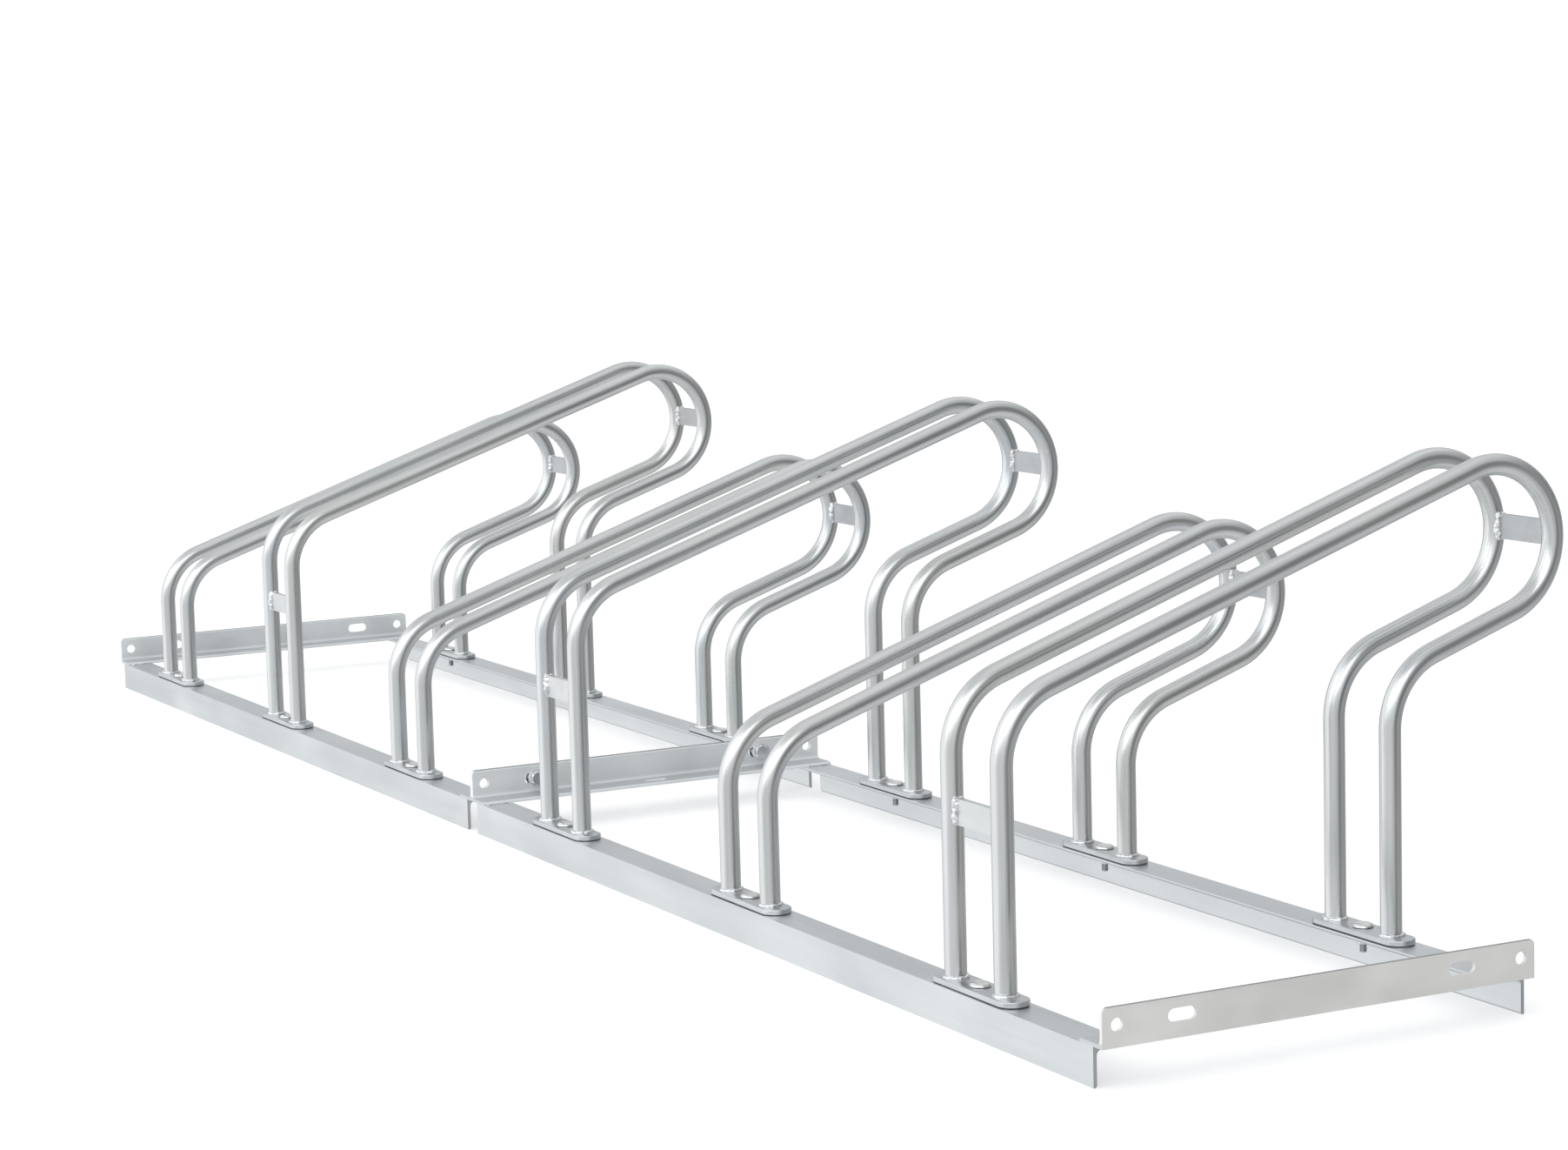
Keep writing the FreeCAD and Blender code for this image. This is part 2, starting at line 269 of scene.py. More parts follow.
def ranged(nodes, links, value, low, high, to_low, to_high):
    """The value between low and high moved to the range between to_low and to_high."""
    node = nodes.new("ShaderNodeMapRange")
    node.inputs["From Min"].default_value = low
    node.inputs["From Max"].default_value = high
    node.inputs["To Min"].default_value = to_low
    node.inputs["To Max"].default_value = to_high
    links.new(value, node.inputs["Value"])
    return node.outputs["Result"]


def combined(nodes, links, kind, *values):
    """A Math node fed by sockets and numbers."""
    node = nodes.new("ShaderNodeMath")
    node.operation = kind
    for socket, value in zip(node.inputs, values):
        if isinstance(value, (int, float)):
            socket.default_value = value
        else:
            links.new(value, socket)
    return node.outputs["Value"]


def blended(nodes, links, factor, first, second):
    """The first colour where the factor is 0 and the second where it is 1; each is a colour or a socket."""
    node = nodes.new("ShaderNodeMix")
    node.data_type = "RGBA"
    links.new(factor, node.inputs["Factor"])
    for socket, colour in (("A", first), ("B", second)):
        target = [s for s in node.inputs if s.name == socket and s.type == "RGBA"][0]
        if isinstance(colour, tuple):
            target.default_value = (*colour, 1.0)
        else:
            links.new(colour, target)
    return [s for s in node.outputs if s.type == "RGBA"][0]


def add_relief(nodes, links, shader, height, strength, depth):
    """Bump from a noise on the shader's normal."""
    bump = nodes.new("ShaderNodeBump")
    bump.inputs["Strength"].default_value = strength
    bump.inputs["Distance"].default_value = depth
    links.new(height, bump.inputs["Height"])
    links.new(bump.outputs["Normal"], shader.inputs["Normal"])


def round_tube_place(nodes, links):
    """The place on a tube as cosine, sine and length along it, so that the noise has no seam."""
    flat = nodes.new("ShaderNodeUVMap").outputs["UV"]
    parts = nodes.new("ShaderNodeSeparateXYZ")
    links.new(flat, parts.inputs["Vector"])
    turn = combined(nodes, links, "MULTIPLY", parts.outputs["X"], 2 * math.pi)
    place = nodes.new("ShaderNodeCombineXYZ")
    for axis, kind in (("X", "COSINE"), ("Y", "SINE")):
        links.new(combined(nodes, links, kind, turn), place.inputs[axis])
    links.new(parts.outputs["Y"], place.inputs["Z"])
    return place.outputs["Vector"]


def zinc(name, dark, light, streak_scale, cloud_scale, roughness, streakiness=0.5, tube=False):
    """Zinc-coated steel: fine streaks along the stock, and longer cloudy patches in tone and gloss."""
    material, nodes, links, shader = new_material(name)
    if tube:
        place = round_tube_place(nodes, links)
    else:
        place = nodes.new("ShaderNodeTexCoord").outputs["Object"]
    fine_scale = tuple(FINE_STREAKS * scale for scale in streak_scale)
    streaks = scaled_noise(nodes, links, place, streak_scale, detail=2.0, roughness=0.5)
    fine_streaks = scaled_noise(nodes, links, place, fine_scale, detail=2.0, roughness=0.5)
    clouds = scaled_noise(nodes, links, place, cloud_scale, detail=2.0, roughness=0.45, distortion=0.4)
    streaks_part = ranged(nodes, links, streaks, *NOISE_SPAN, 0.0, BROAD_SHARE * streakiness)
    fine_part = ranged(nodes, links, fine_streaks, *NOISE_SPAN, 0.0, FINE_SHARE * streakiness)
    clouds_part = ranged(nodes, links, clouds, *NOISE_SPAN, 0.0, 1.0 - streakiness)
    all_streaks = combined(nodes, links, "ADD", streaks_part, fine_part)
    tone = combined(nodes, links, "ADD", all_streaks, clouds_part)
    colour = blended(nodes, links, tone, dark, light)
    if tube:
        warmth = scaled_noise(nodes, links, place, WARM_PATCH_SCALE, detail=2.0, roughness=0.5)
        share = ranged(nodes, links, warmth, *WARM_SPAN, 0.0, WARM_SHARE)
        colour = blended(nodes, links, share, colour, WARM_ZINC)
    links.new(colour, shader.inputs["Base Color"])
    shader.inputs["Metallic"].default_value = 1.0
    links.new(ranged(nodes, links, clouds, *NOISE_SPAN, *roughness), shader.inputs["Roughness"])
    add_relief(nodes, links, shader, fine_streaks, STREAK_RELIEF, STREAK_DEPTH)
    return material


def bar_zinc(name, dark, light):
    """An end bar's zinc: its upright leg is duller than its flange, and its rolled top edge is dark."""
    material = zinc(
        name,
        dark,
        light,
        streak_scale=(40.0, 9.0, 40.0),
        cloud_scale=(18.0, 12.0, 18.0),
        roughness=(0.44, 0.56),
        streakiness=0.3,
    )
    nodes = material.node_tree.nodes
    links = material.node_tree.links
    shader = [node for node in nodes if node.type == "BSDF_PRINCIPLED"][0]
    colour = shader.inputs["Base Color"].links[0].from_socket
    place = nodes.new("ShaderNodeTexCoord")
    parts = []
    for output in ("Object", "Normal"):
        split = nodes.new("ShaderNodeSeparateXYZ")
        links.new(place.outputs[output], split.inputs["Vector"])
        parts.append(split.outputs)
    height = parts[0]["Z"]
    sideways = combined(nodes, links, "ABSOLUTE", parts[1]["X"])
    over_flange = ranged(nodes, links, height, BAR_FLANGE_TOP, BAR_FLANGE_TOP + BAR_ZONE_FADE, 0.0, 1.0)
    facing = ranged(nodes, links, sideways, *BAR_FACING_SPAN, 0.0, 1.0)
    upright = combined(nodes, links, "MAXIMUM", over_flange, facing)
    edge = ranged(nodes, links, height, BAR_TOP - BAR_DARK_EDGE, BAR_TOP - BAR_DARK_EDGE / 2, 0.0, 1.0)
    flange_or_leg = blended(nodes, links, upright, BAR_FLANGE_COLOUR, colour)
    links.new(blended(nodes, links, edge, flange_or_leg, BAR_EDGE_COLOUR), shader.inputs["Base Color"])
    links.new(ranged(nodes, links, upright, 0.0, 1.0, 1.0, BAR_METALLIC), shader.inputs["Metallic"])
    return material


def painted_shadow_material():
    """Painted shadow: the dark line where a foot plate lies on its rail, or a bolt head on its plate."""
    material, nodes, links, shader = new_material("painted_shadow_line")
    place = nodes.new("ShaderNodeTexCoord").outputs["Object"]
    shadow_speckle = scaled_noise(nodes, links, place, PAINTED_SHADOW_GRAIN, detail=3.0, roughness=0.6)
    tone = ranged(nodes, links, shadow_speckle, *TONE_SPAN, 0.0, 1.0)
    links.new(blended(nodes, links, tone, PAINTED_SHADOW_DARK, PAINTED_SHADOW_LIGHT), shader.inputs["Base Color"])
    links.new(ranged(nodes, links, shadow_speckle, *NOISE_SPAN, *PAINTED_SHADOW_ROUGHNESS), shader.inputs["Roughness"])
    return material


def weld_material():
    """Bright, lumpy weld metal."""
    material, nodes, links, shader = new_material("weld_metal")
    place = nodes.new("ShaderNodeTexCoord").outputs["Object"]
    lumps = scaled_noise(nodes, links, place, WELD_GRAIN, detail=2.0, roughness=0.5)
    tone = ranged(nodes, links, lumps, *TONE_SPAN, 0.0, 1.0)
    links.new(blended(nodes, links, tone, WELD_DARK, WELD_LIGHT), shader.inputs["Base Color"])
    shader.inputs["Metallic"].default_value = 1.0
    links.new(ranged(nodes, links, lumps, *NOISE_SPAN, *WELD_ROUGHNESS), shader.inputs["Roughness"])
    add_relief(nodes, links, shader, lumps, WELD_RELIEF, WELD_DEPTH)
    return material


TUBE_ZINC = zinc(
    "tube_zinc",
    dark=(0.61, 0.634, 0.65),
    light=(0.80, 0.813, 0.817),
    streak_scale=(3.2, 3.2, 5.0),
    cloud_scale=(0.8, 0.8, 9.0),
    roughness=(0.20, 0.29),
    streakiness=0.55,
    tube=True,
)
RAIL_ZINC = zinc(
    "rail_zinc",
    dark=(0.60, 0.63, 0.65),
    light=(0.79, 0.81, 0.82),
    streak_scale=(3.0, 90.0, 90.0),
    cloud_scale=(6.0, 14.0, 14.0),
    roughness=(0.32, 0.46),
    streakiness=0.25,
)
NEAR_BAR_ZINC = bar_zinc("near_bar_zinc", dark=(0.77, 0.762, 0.738), light=(0.91, 0.903, 0.878))
BAR_ZINC = bar_zinc("bar_zinc", dark=(0.75, 0.775, 0.79), light=(0.92, 0.94, 0.95))
FLAT_ZINC = zinc(
    "flat_zinc",
    dark=(0.54, 0.565, 0.58),
    light=(0.72, 0.74, 0.75),
    streak_scale=(20.0, 110.0, 110.0),
    cloud_scale=(30.0, 60.0, 60.0),
    roughness=(0.28, 0.42),
    streakiness=0.35,
)
FRONT_SPACER_ZINC = zinc(
    "front_spacer_zinc",
    dark=(0.68, 0.695, 0.70),
    light=(0.82, 0.83, 0.83),
    streak_scale=(20.0, 90.0, 90.0),
    cloud_scale=(30.0, 40.0, 40.0),
    roughness=(0.34, 0.46),
    streakiness=0.25,
)
# darker copy of the front spacers' zinc: painted shade on the rear spacers
REAR_SPACER_SHADED_ZINC = zinc(
    "rear_spacer_shaded_zinc",
    dark=(0.44, 0.455, 0.47),
    light=(0.60, 0.61, 0.62),
    streak_scale=(20.0, 90.0, 90.0),
    cloud_scale=(30.0, 40.0, 40.0),
    roughness=(0.34, 0.46),
    streakiness=0.25,
)
BOLT_ZINC = zinc(
    "bolt_zinc",
    dark=(0.70, 0.705, 0.70),
    light=(0.88, 0.885, 0.88),
    streak_scale=FASTENER_GRAIN,
    cloud_scale=FASTENER_CLOUDS,
    roughness=(0.14, 0.26),
)
JOINT_ZINC = zinc(
    "joint_zinc",
    dark=(0.80, 0.82, 0.84),
    light=(0.95, 0.97, 0.98),
    streak_scale=FASTENER_GRAIN,
    cloud_scale=FASTENER_CLOUDS,
    roughness=(0.10, 0.22),
)
# darker copy of the bolts' zinc for the carriage bolts' threads: painted shade, as they hang under the rails'
# flanges
SHADED_THREAD_ZINC = zinc(
    "shaded_thread_zinc",
    dark=(0.30, 0.31, 0.32),
    light=(0.60, 0.61, 0.62),
    streak_scale=FASTENER_GRAIN,
    cloud_scale=FASTENER_CLOUDS,
    roughness=(0.25, 0.45),
)
WELD = weld_material()
PAINTED_SHADOW = painted_shadow_material()

# Materials of the pieces that have more than one, and the place of each in the list
PLATE_MATERIALS = (FLAT_ZINC, PAINTED_SHADOW)
# the plate's groove takes the painted shadow
PLATE_PAINTED_SHADOW = 1
BOLT_MATERIALS = (BOLT_ZINC, SHADED_THREAD_ZINC, PAINTED_SHADOW)
BOLT_SHADED_THREAD = 1
# the bolt heads' lowest bands take the painted shadow
BOLT_PAINTED_SHADOW = 2


# ---------------------------------------------------------------- meshes

def new_piece(name, mesh_maker, materials, nodes=()):
    """A piece of its own mesh that rides on the rack and, where it replaces nodes, stands for them."""
    mesh = bpy.data.meshes.new(name)
    shape = bmesh.new()
    mesh_maker(shape)
    bmesh.ops.recalc_face_normals(shape, faces=shape.faces)
    shape.to_mesh(mesh)
    shape.free()
    for material in materials:
        mesh.materials.append(material)
    piece = bpy.data.objects.new(name, mesh)
    bpy.context.scene.collection.objects.link(piece)
    smooth_by_angle(piece, SHARP_ANGLE)
    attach(piece, "root")
    if nodes:
        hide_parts(*nodes)


def smooth_by_angle(piece, degrees):
    """Smooth shading with sharp edges kept where the faces meet at more than the angle."""
    mesh = piece.data
    shape = bmesh.new()
    shape.from_mesh(mesh)
    limit = math.radians(degrees)
    for face in shape.faces:
        face.smooth = True
    for edge in shape.edges:
        edge.smooth = len(edge.link_faces) == 2 and edge.calc_face_angle(0) < limit
    shape.to_mesh(mesh)
    shape.free()


def angles(count):
    """Equal steps round a circle, in radians."""
    return [2 * math.pi * k / count for k in range(count)]


def square_to(axis):
    """Two directions square to each other and to an axis, which lies along X or Z."""
    side = axis.cross(Y_AXIS).normalized()
    return side, axis.cross(side)


def ring_of(shape, points):
    """New vertices of the mesh at the points."""
    return [shape.verts.new(p) for p in points]


def bridge(shape, rings, closed=False, uv=None, lengths=None):
    """Side faces between rings of equally many vertices; the UV is the turn and each ring's length."""
    count = len(rings[0])
    pairs = list(zip(rings, rings[1:]))
    if closed:
        pairs.append((rings[-1], rings[0]))
    for i, (lower, upper) in enumerate(pairs):
        for k in range(count):
            after = (k + 1) % count
            face = shape.faces.new((lower[k], lower[after], upper[after], upper[k]))
            if uv:
                corners = ((k, i), (k + 1, i), (k + 1, i + 1), (k, i + 1))
                for loop, (around, along) in zip(face.loops, corners):
                    loop[uv].uv = (around / count, lengths[along])


def skin(shape, rings, uv=None, lengths=None):
    """Side faces between the rings, and a face over each end."""
    bridge(shape, rings, uv=uv, lengths=lengths)
    shape.faces.new(rings[0])
    shape.faces.new(rings[-1])


def foot_top(number, end):
    """Middle of a foot plate's upper face."""
    low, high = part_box("hoop_%d_%s_foot" % (number, end))
    return (low.x + high.x) / 2, (low.y + high.y) / 2, high.z


def tube_path(foot_front, foot_rear, low, top, rear):
    """Centre line of a hoop's tube in the YZ plane: leg, bend, arm, arch, return, bend and rear leg."""
    slope = math.radians(RUN_ANGLE)
    run = Vector((0, math.cos(slope), math.sin(slope)))
    normal = Vector((0, -math.sin(slope), math.cos(slope)))
    arch = Vector((0, rear - TUBE_R - BEND_R, top - TUBE_R - BEND_R))
    turn = 90 - RUN_ANGLE
    lead = BEND_R * math.tan(math.radians(turn) / 2)

    def bend(centre, first, sweep):
        steps = math.ceil(abs(sweep) / BEND_STEP)
        points = []
        for i in range(steps + 1):
            a = math.radians(first + sweep * i / steps)
            points.append(centre + Vector((0, BEND_R * math.cos(a), BEND_R * math.sin(a))))
        return points

    def foot_bend(foot_y, point):
        corner = point - run * ((point.y - foot_y) / run.y)
        return corner - Z_AXIS * lead + Y_AXIS * BEND_R

    path = [Vector((0, foot_front, low))]
    path += bend(foot_bend(foot_front, arch + normal * BEND_R), 180, -turn)
    path += bend(arch, 90 + RUN_ANGLE, -180)
    path += bend(foot_bend(foot_rear, arch - normal * BEND_R), 90 + RUN_ANGLE, turn)
    path.append(Vector((0, foot_rear, low)))
    return path


def round_tube(number, side):
    """The round tube that stands for a hoop's many-sided one."""
    node = "hoop_%d_%s_tube" % (number, side)
    low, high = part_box(node)
    foot_front, foot_rear = (foot_top(number, end)[1] for end in ENDS)
    path = tube_path(foot_front, foot_rear, low.z, high.z, high.y)
    middle = (low.x + high.x) / 2

    def make(shape):
        uv = shape.loops.layers.uv.new("UVMap")
        rings = []
        lengths = [number * HOOP_NOISE_STEP + (RIGHT_TUBE_NOISE if side == "right" else 0.0)]
        for i, point in enumerate(path):
            before = (point - path[i - 1]).normalized() if i else Z_AXIS
            after = (path[i + 1] - point).normalized() if i + 1 < len(path) else -Z_AXIS
            along = (before + after).normalized()
            up = along.cross(X_AXIS)
            if i:
                lengths.append(lengths[-1] + (point - path[i - 1]).length)
            ring = []
            for a in angles(TUBE_SIDES):
                ring.append(point + X_AXIS * (middle + TUBE_R * math.cos(a)) + up * (TUBE_R * math.sin(a)))
            rings.append(ring_of(shape, ring))
        skin(shape, rings, uv, lengths)

    new_piece("hoop_%d_%s_round_tube" % (number, side), make, (TUBE_ZINC,), (node,))


def foot_plate(number, end):
    """Flat bar with half-round ends, a softly rounded upper edge and a groove below that is painted dark as
    shadow.
    """
    node = "hoop_%d_%s_foot" % (number, end)
    low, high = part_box(node)
    radius = (high.y - low.y) / 2
    half = (high.x - low.x) / 2
    centre = (low + high) / 2

    def outline(shrink, z):
        points = []
        for turn in (1, -1):
            for i in range(FOOT_END_STEPS + 1):
                a = math.pi * i / FOOT_END_STEPS - math.pi / 2
                x = turn * (half - radius + (radius - shrink) * math.cos(a))
                y = turn * (radius - shrink) * math.sin(a)
                points.append(Vector((centre.x + x, centre.y + y, z)))
        return points

    def make(shape):
        levels = [
            (FOOT_GAP_DEPTH, low.z),
            (FOOT_GAP_DEPTH, low.z + FOOT_GAP_RISE * FOOT_GAP_UPRIGHT),
            (0.0, low.z + FOOT_GAP_RISE),
        ]
        for i in range(FOOT_EDGE_STEPS + 1):
            a = math.radians(90 / FOOT_EDGE_STEPS * i)
            levels.append((FOOT_EDGE_R * (1 - math.cos(a)), high.z - FOOT_EDGE_R * (1 - math.sin(a))))
        rings = [ring_of(shape, outline(shrink, z)) for shrink, z in levels]
        skin(shape, rings)
        # the groove's faces get the painted shadow
        for face in list(shape.faces)[:len(rings[0])]:
            face.material_index = PLATE_PAINTED_SHADOW

    new_piece("hoop_%d_%s_plate" % (number, end), make, PLATE_MATERIALS, (node,))


def weld_ring(name, centre, seed):
    """Uneven bead round a tube's foot."""

    def make(shape):
        rings = []
        for a in angles(RING_STEPS):
            out = Vector((math.cos(a), math.sin(a), 0))
            place = (math.cos(a) * RING_LUMP_SPREAD, math.sin(a) * RING_LUMP_SPREAD, seed * RING_SEED_STEP)
            lump = noise.noise(Vector(place))
            ripple = RING_RIPPLE * math.sin(a * RING_RIPPLES + seed)
            size = FOOT_WELD * (1.0 + RING_LUMPS * lump + ripple)
            ring = []
            for j in range(RING_ARC_POINTS):
                b = math.pi / 2 * j / (RING_ARC_POINTS - 1)
                bulge = 1.0 + RING_BULGE * math.sin(2 * b)
                reach = TUBE_R - RING_SINK + size * math.cos(b) * bulge
                rise = size * math.sin(b) * bulge
                ring.append(centre + out * reach + Z_AXIS * rise)
            ring.append(centre + out * (TUBE_R - RING_ROOT_SINK) - Z_AXIS * RING_SINK)
            rings.append(ring_of(shape, ring))
        bridge(shape, rings, closed=True)

    new_piece(name, make, (WELD,))


def weld_bead(name, start, end, size, seed, lumpy):
    """Lumpy run of weld metal from start to end, which narrows at both ends."""
    along = end - start
    steps = max(BEAD_LEAST_STEPS, int(along.length / BEAD_STEP))
    direction = along.normalized()
    side = direction.cross(Z_AXIS if abs(direction.z) < 0.9 else X_AXIS).normalized()
    up = side.cross(direction)

    def make(shape):
        rings = []
        for i in range(steps + 1):
            t = i / steps
            taper = math.sqrt(max(BEAD_TIP, 1 - (2 * t - 1) ** 4))
            here = start + along * t
            ring = []
            for a in angles(BEAD_SIDES):
                out = side * math.cos(a) + up * math.sin(a)
                lump = noise.noise((here + out * size) * BEAD_LUMP_SCALE + Vector((seed, 0, 0)))
                ring.append(here + out * (size * taper * (1 + lumpy * lump)))
            rings.append(ring_of(shape, ring))
        skin(shape, rings)

    new_piece(name, make, (WELD,))


def helix_shank(shape, base, axis, length, radius, pitch, tip):
    """Threaded shank from the base along the axis, with a bevelled tip."""
    side, up = square_to(axis)
    depth = pitch * THREAD_DEPTH
    steps = int(length / pitch * THREAD_STEPS)
    rings = []
    for i in range(steps + 1):
        along = length * i / steps
        left = length - along
        ring = []
        for k, a in enumerate(angles(SHANK_SIDES)):
            phase = (along / pitch - k / SHANK_SIDES) % 1.0
            crest = abs(2 * phase - 1)
            r = radius - depth * (1 - crest)
            if left < tip:
                r = min(r, radius - (tip - left))
            ring.append(base + axis * along + side * (r * math.cos(a)) + up * (r * math.sin(a)))
        rings.append(ring_of(shape, ring))
    skin(shape, rings)


def carriage_head(shape, seat):
    """Low round head: an upright rim over bands painted dark as shadow, a round shoulder and a nearly flat
    crown.
    """
    first = len(shape.faces)
    rings = []
    for reach, rise in BOLT_HEAD_PROFILE:
        r = BOLT_HEAD_R * reach
        ring = []
        for a in angles(BOLT_HEAD_SIDES):
            ring.append(seat + Vector((r * math.cos(a), r * math.sin(a), BOLT_HEAD_RISE * rise)))
        rings.append(ring_of(shape, ring))
    skin(shape, rings)
    # the bands next to the seat get the painted shadow
    for face in list(shape.faces)[first:first + BOLT_HEAD_SHADOW_BANDS * BOLT_HEAD_SIDES]:
        face.material_index = BOLT_PAINTED_SHADOW


def hex_body(shape, seat, axis, flats, height, bevel_both):
    """Hexagon with its corners turned off, as on a bought bolt's head or nut."""
    side, up = square_to(axis)
    corner = flats / math.sqrt(3)
    rise = corner * HEX_BEVEL_RISE
    turned = flats / 2 * HEX_BEVEL_REACH
    uncut = corner * HEX_UNCUT

    def outline(limit, along):
        points = []
        for a in angles(HEX_SIDES):
            hexagon = flats / 2 / math.cos((a % (math.pi / 3)) - math.pi / 6)
            r = min(hexagon, limit)
            points.append(seat + axis * along + side * (r * math.cos(a)) + up * (r * math.sin(a)))
        return points

    levels = [(turned, 0.0), (uncut, rise)] if bevel_both else [(uncut, 0.0)]
    levels += [(uncut, height - rise), (turned, height)]
    skin(shape, [ring_of(shape, outline(limit, along)) for limit, along in levels])


def washer_body(shape, seat, axis):
    """Flat ring from the seat along the axis, with its outer far edge bevelled."""
    side, up = square_to(axis)
    profile = (
        (WASHER_BORE_R, 0.0),
        (WASHER_R, 0.0),
        (WASHER_R, WASHER_THICKNESS - WASHER_EDGE),
        (WASHER_R - WASHER_EDGE, WASHER_THICKNESS),
        (WASHER_BORE_R, WASHER_THICKNESS),
    )
    rings = []
    for r, along in profile:
        ring = []
        for a in angles(WASHER_SIDES):
            ring.append(seat + axis * along + side * (r * math.cos(a)) + up * (r * math.sin(a)))
        rings.append(ring_of(shape, ring))
    bridge(shape, rings, closed=True)


# ---------------------------------------------------------------- pieces

def rounded_cad(node, material, width):
    """A CAD node kept as it is, with its edges softened and its own finish."""
    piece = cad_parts[node]
    piece.data.materials.clear()
    piece.data.materials.append(material)
    bevel = piece.modifiers.new("edges", "BEVEL")
    bevel.width = width
    bevel.segments = EDGE_SEGMENTS
    bevel.limit_method = "ANGLE"
    bevel.angle_limit = math.radians(SHARP_ANGLE)
    bevel.harden_normals = False


def foot_welds(number, end):
    """The beads round both tubes where they stand on a foot plate."""
    foot_y, foot_z = foot_top(number, end)[1:]
    for k, side in enumerate(SIDES):
        low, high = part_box("hoop_%d_%s_tube" % (number, side))
        centre = Vector(((low.x + high.x) / 2, foot_y, foot_z))
        seed = number * 4.1 + k * 1.7 + foot_y * 9
        weld_ring("hoop_%d_%s_%s_weld" % (number, end, side), centre, seed)


def spacer(number, end):
    """A hoop's spacer, with heavy beads at its left end and light ones at its right end."""
    node = "hoop_%d_%s_spacer" % (number, end)
    # the rear spacers take the darker copy, painted shade
    rounded_cad(node, FRONT_SPACER_ZINC if end == "front" else REAR_SPACER_SHADED_ZINC, SPACER_EDGE)
    low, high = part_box(node)
    middle_y = (low.y + high.y) / 2
    for k, side in enumerate(SIDES):
        tube_low, tube_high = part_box("hoop_%d_%s_tube" % (number, side))
        if side == "left":
            x, past, size, lumpy = tube_high.x, SPACER_WELD_PAST, SPACER_WELD, HEAVY_WELD_LUMPS
        else:
            x, past, size, lumpy = tube_low.x, -SPACER_WELD_PAST, LIGHT_WELD, LIGHT_WELD_LUMPS
        for face, turn in (("front", -1), ("rear", 1)):
            y = middle_y + turn * ((high.y - low.y) / 2 - SPACER_WELD_SINK)
            bottom = Vector((x, y, low.z - past))
            top = Vector((x, y, high.z + past))
            name = "hoop_%d_%s_spacer_%s_%s_weld" % (number, end, side, face)
            weld_bead(name, bottom, top, size, number * 2.3 + k + turn, lumpy)


def hoop(number):
    """A hoop's two tubes, two feet and one or two spacers, with their welds."""
    for side in SIDES:
        round_tube(number, side)
    for end in ENDS:
        foot_plate(number, end)
        foot_welds(number, end)
    spacer(number, "rear")
    if number in HIGH_HOOPS:
        spacer(number, "front")


def foot_fasteners():
    """Carriage bolts down through the feet, with their nuts under the rails' flanges."""
    seats = []
    for number in range(1, HOOPS + 1):
        for end in ENDS:
            seats.append(Vector(foot_top(number, end)))
    bolt_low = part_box("foot_bolts")[0]
    nut_low, nut_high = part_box("foot_nuts")

    def bolts(shape):
        for seat in seats:
            carriage_head(shape, seat)
            first = len(shape.faces)
            length = seat.z - bolt_low.z
            helix_shank(shape, seat, -Z_AXIS, length, FOOT_SHANK_R, FOOT_THREAD_PITCH, FOOT_THREAD_TIP)
            # the threads take the darker zinc, painted shade
            for face in list(shape.faces)[first:]:
                face.material_index = BOLT_SHADED_THREAD

    def nuts(shape):
        for seat in seats:
            top = Vector((seat.x, seat.y, nut_high.z))
            hex_body(shape, top, -Z_AXIS, FOOT_NUT_FLATS, nut_high.z - nut_low.z, True)

    new_piece("carriage_bolts", bolts, BOLT_MATERIALS, ("foot_bolts",))
    new_piece("carriage_nuts", nuts, (BOLT_ZINC,), ("foot_nuts",))


def joint_fasteners():
    """Hexagon bolts, nuts and washers that hold the two modules together."""
    low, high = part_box("joint_bolts")
    washer_low, washer_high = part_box("joint_washers")
    nut_low, nut_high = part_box("joint_nuts")
    middle_z = (low.z + high.z) / 2
    seat_x = washer_high.x
    ys = (washer_low.y + WASHER_R, washer_high.y - WASHER_R)

    def bolts(shape):
        for y in ys:
            seat = Vector((seat_x, y, middle_z))
            length = seat_x - low.x
            hex_body(shape, seat, X_AXIS, JOINT_NUT_FLATS, high.x - seat_x, False)
            helix_shank(shape, seat, -X_AXIS, length, JOINT_SHANK_R, JOINT_THREAD_PITCH, JOINT_THREAD_TIP)

    def nuts(shape):
        for y in ys:
            seat = Vector((nut_high.x, y, middle_z))
            hex_body(shape, seat, -X_AXIS, JOINT_NUT_FLATS, nut_high.x - nut_low.x, True)

    def washers(shape):
        for y in ys:
            washer_body(shape, Vector((washer_high.x - WASHER_THICKNESS, y, middle_z)), X_AXIS)
            washer_body(shape, Vector((washer_low.x + WASHER_THICKNESS, y, middle_z)), -X_AXIS)

    new_piece("hex_bolts", bolts, (JOINT_ZINC,), ("joint_bolts",))
    new_piece("hex_nuts", nuts, (JOINT_ZINC,), ("joint_nuts",))
    new_piece("round_washers", washers, (JOINT_ZINC,), ("joint_washers",))


def frame_welds():
    """Beads where each end bar lies on the rails."""
    for letter in MODULES:
        for side in SIDES:
            bar_low, bar_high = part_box("%s_end_bar_%s" % (side, letter))
            for end in ENDS:
                low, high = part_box("%s_rail_%s" % (end, letter))
                rail_x = low.x if side == "left" else high.x
                inner_x = bar_high.x if side == "left" else bar_low.x
                name = "%s_%s_%s" % (side, end, letter)
                start = Vector((rail_x, low.y + OUTER_WELD_INSET, high.z))
                stop = Vector((rail_x, high.y - OUTER_WELD_INSET, high.z))
                seed = bar_low.x * 3 + low.y
                weld_bead(name + "_outer_weld", start, stop, OUTER_WELD, seed, OUTER_WELD_LUMPS)
                start = Vector((inner_x, low.y + INNER_WELD_FRONT_INSET, high.z + INNER_WELD_RISE))
                stop = Vector((inner_x, high.y - INNER_WELD_REAR_INSET, high.z + INNER_WELD_RISE))
                seed = bar_low.x * 5 + low.y
                weld_bead(name + "_inner_weld", start, stop, INNER_WELD, seed, INNER_WELD_LUMPS)


# ---------------------------------------------------------------- stage

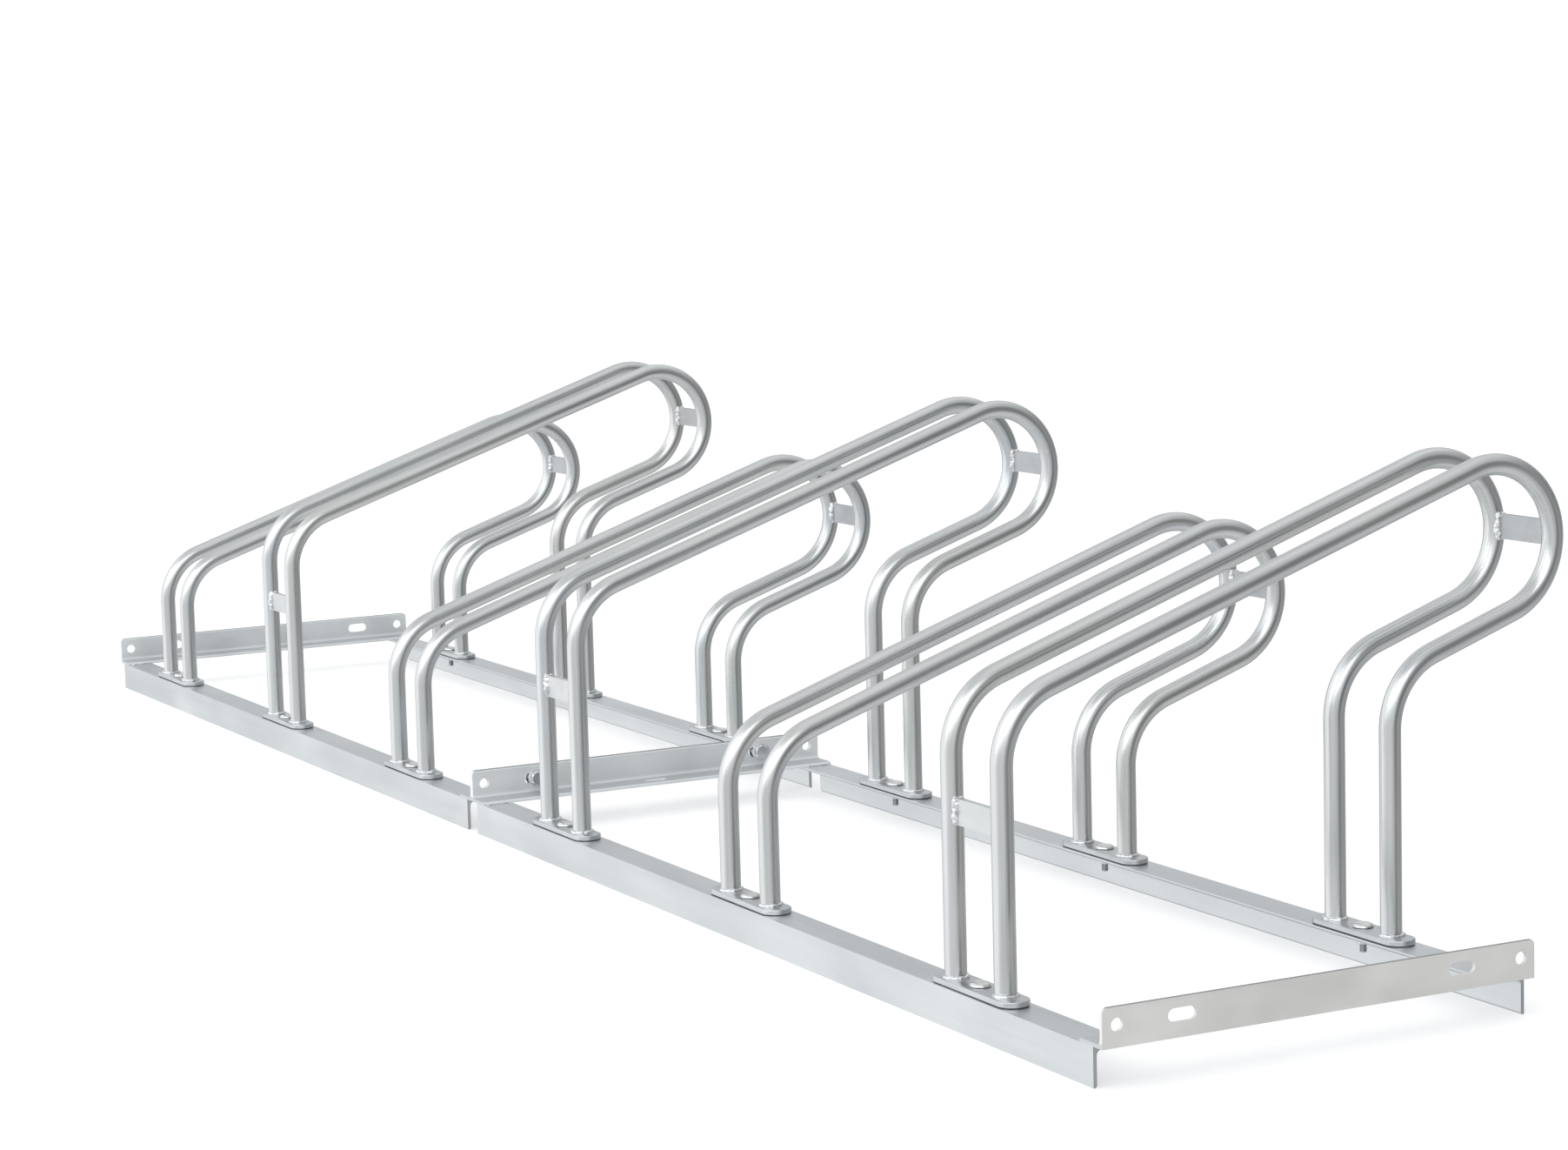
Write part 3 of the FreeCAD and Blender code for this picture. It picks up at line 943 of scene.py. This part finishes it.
def stage_piece(name, corners, faces, albedo, glow):
    """A plain white piece of the stage, which the rack's gloss doesn't see: the world stands for it there."""
    mesh = bpy.data.meshes.new(name)
    mesh.from_pydata(corners, [], faces)
    piece = bpy.data.objects.new(name, mesh)
    bpy.context.scene.collection.objects.link(piece)
    material, _, _, shader = new_material(name + "_white")
    shader.inputs["Base Color"].default_value = (albedo, albedo, albedo, 1.0)
    shader.inputs["Roughness"].default_value = STAGE_ROUGHNESS
    shader.inputs["Emission Color"].default_value = (1.0, 1.0, 1.0, 1.0)
    shader.inputs["Emission Strength"].default_value = glow
    mesh.materials.append(material)
    piece.visible_glossy = False
    return piece


def stage():
    """A pale floor and a white wall far round it, which neither lights the rack nor shades it."""
    level = cad_low.z - FLOOR_DROP
    ring = [(WALL_DISTANCE * math.cos(a), WALL_DISTANCE * math.sin(a)) for a in angles(WALL_SIDES)]
    ground = [(x, y, level) for x, y in ring]
    stage_piece("floor", ground, [tuple(range(WALL_SIDES))], FLOOR_ALBEDO, FLOOR_GLOW)
    raised = [(x, y, level + WALL_HEIGHT) for x, y in ring]
    sides = []
    for k in range(WALL_SIDES):
        after = (k + 1) % WALL_SIDES
        sides.append((k, after, WALL_SIDES + after, WALL_SIDES + k))
    wall = stage_piece("wall", ground + raised, sides, WALL_ALBEDO, WALL_GLOW)
    wall.visible_diffuse = False
    wall.visible_shadow = False


def towards(azimuth, elevation):
    """Direction with azimuth 0 along +Y and 90 along +X."""
    a = math.radians(azimuth)
    e = math.radians(elevation)
    return Vector((math.sin(a) * math.cos(e), math.cos(a) * math.cos(e), math.sin(e)))


def lobe(nodes, links, direction, azimuth, elevation, inner, outer):
    """1 within the inner angle of a direction of the world, falling to 0 at the outer one."""
    along = nodes.new("ShaderNodeVectorMath")
    along.operation = "DOT_PRODUCT"
    links.new(direction, along.inputs[0])
    along.inputs[1].default_value = towards(azimuth, elevation)
    fade = nodes.new("ShaderNodeMapRange")
    fade.interpolation_type = "SMOOTHSTEP"
    fade.inputs["From Min"].default_value = math.cos(math.radians(outer))
    fade.inputs["From Max"].default_value = math.cos(math.radians(inner))
    links.new(along.outputs["Value"], fade.inputs["Value"])
    return fade.outputs["Result"]


def studio():
    """Soft studio light: pale all round, with brighter and dimmer directions that blend into it."""
    world = bpy.data.worlds.new("studio")
    bpy.context.scene.world = world
    world.use_nodes = True
    nodes = world.node_tree.nodes
    links = world.node_tree.links
    nodes.clear()
    output = nodes.new("ShaderNodeOutputWorld")
    background = nodes.new("ShaderNodeBackground")
    background.inputs["Color"].default_value = AMBIENT_COLOUR
    direction = nodes.new("ShaderNodeTexCoord").outputs["Generated"]
    light = AMBIENT
    for azimuth, elevation, inner, outer, gain in STUDIO_LIGHTS:
        area = lobe(nodes, links, direction, azimuth, elevation, inner, outer)
        part = combined(nodes, links, "MULTIPLY", area, gain)
        light = combined(nodes, links, "ADD", light, part)
    links.new(combined(nodes, links, "MAXIMUM", light, DARKEST), background.inputs["Strength"])
    links.new(background.outputs["Background"], output.inputs["Surface"])
    view = bpy.context.scene.view_settings
    view.view_transform = "Standard"
    view.look = "None"
    view.exposure = 0.0


def camera():
    """The photograph's camera, with its roll."""
    azimuth = math.radians(CAMERA_AZIMUTH)
    roll = math.radians(CAMERA_ROLL)
    forward = towards(CAMERA_AZIMUTH, CAMERA_ELEVATION)
    level = Vector((math.cos(azimuth), -math.sin(azimuth), 0.0))
    upright = level.cross(forward)
    right = level * math.cos(roll) + upright * math.sin(roll)
    up = upright * math.cos(roll) - level * math.sin(roll)
    data = bpy.data.cameras.new("photo_camera")
    data.sensor_width = SENSOR_WIDTH
    data.lens = FOCAL_PIXELS / PHOTO_WIDTH * SENSOR_WIDTH
    data.clip_start = 0.05
    data.clip_end = 100.0
    eye = bpy.data.objects.new("photo_camera", data)
    turn = Matrix((right, up, -forward)).transposed().to_4x4()
    eye.matrix_world = Matrix.Translation(CAMERA_PLACE) @ turn
    bpy.context.scene.collection.objects.link(eye)
    bpy.context.scene.camera = eye


for letter in MODULES:
    for end in ENDS:
        rounded_cad("%s_rail_%s" % (end, letter), RAIL_ZINC, ANGLE_EDGE)
    for side in SIDES:
        near_end = side == "right" and letter == "b"
        rounded_cad("%s_end_bar_%s" % (side, letter), NEAR_BAR_ZINC if near_end else BAR_ZINC, ANGLE_EDGE)
for number in range(1, HOOPS + 1):
    hoop(number)
foot_fasteners()
joint_fasteners()
frame_welds()
stage()
studio()
camera()
